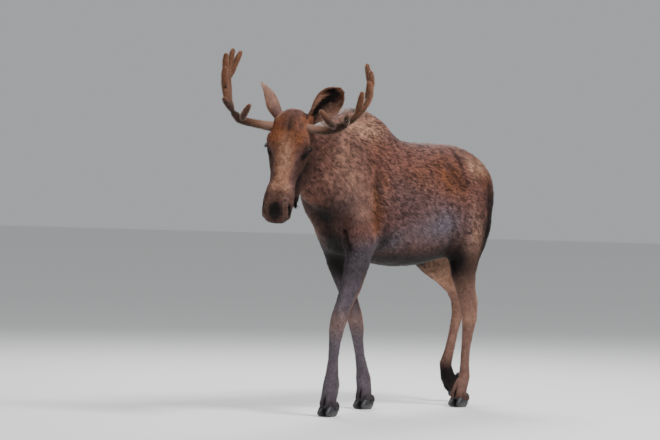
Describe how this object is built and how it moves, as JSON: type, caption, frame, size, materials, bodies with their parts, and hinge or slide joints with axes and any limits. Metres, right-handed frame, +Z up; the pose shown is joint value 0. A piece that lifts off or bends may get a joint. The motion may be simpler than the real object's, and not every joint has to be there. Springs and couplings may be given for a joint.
{
  "type": "moose",
  "caption": "Life-size still model of a young bull moose in velvet, walking with its head turned to its left, standing on its own hooves.",
  "frame": {"origin": "on the floor, under the middle of the model's box", "axes": "+X the way the body heads, +Y its left side, +Z up"},
  "size_m": [2.226, 0.8002, 2.0832],
  "materials": {
    "body_coat": "short brown hair, tipped grey and tan",
    "face_coat": "very short warm brown hair",
    "shank_coat": "short grey brown hair",
    "hoof": "dull dark horn",
    "velvet": "velvet skin with dense short hair",
    "eye": "wet dark brown eye"
  },
  "bodies": {
    "root": {"head": "face_coat", "neck": "body_coat", "trunk": "body_coat", "tail": "body_coat", "bell": "body_coat", "ear_left": "body_coat", "ear_right": "body_coat", "eye_left": "eye", "eye_right": "eye", "antler_left_beam": "velvet", "antler_left_brow_tine": "velvet", "antler_left_palm": "velvet", "antler_right_beam": "velvet", "antler_right_brow_tine": "velvet", "antler_right_palm": "velvet", "foreleg_left_upper": "body_coat", "foreleg_left_lower": "shank_coat", "foreleg_left_hooves": "hoof", "foreleg_right_upper": "body_coat", "foreleg_right_lower": "shank_coat", "foreleg_right_hooves": "hoof", "hindleg_left_upper": "body_coat", "hindleg_left_lower": "shank_coat", "hindleg_left_hooves": "hoof", "hindleg_right_upper": "body_coat", "hindleg_right_lower": "shank_coat", "hindleg_right_hooves": "hoof"}
  },
  "joints": []
}
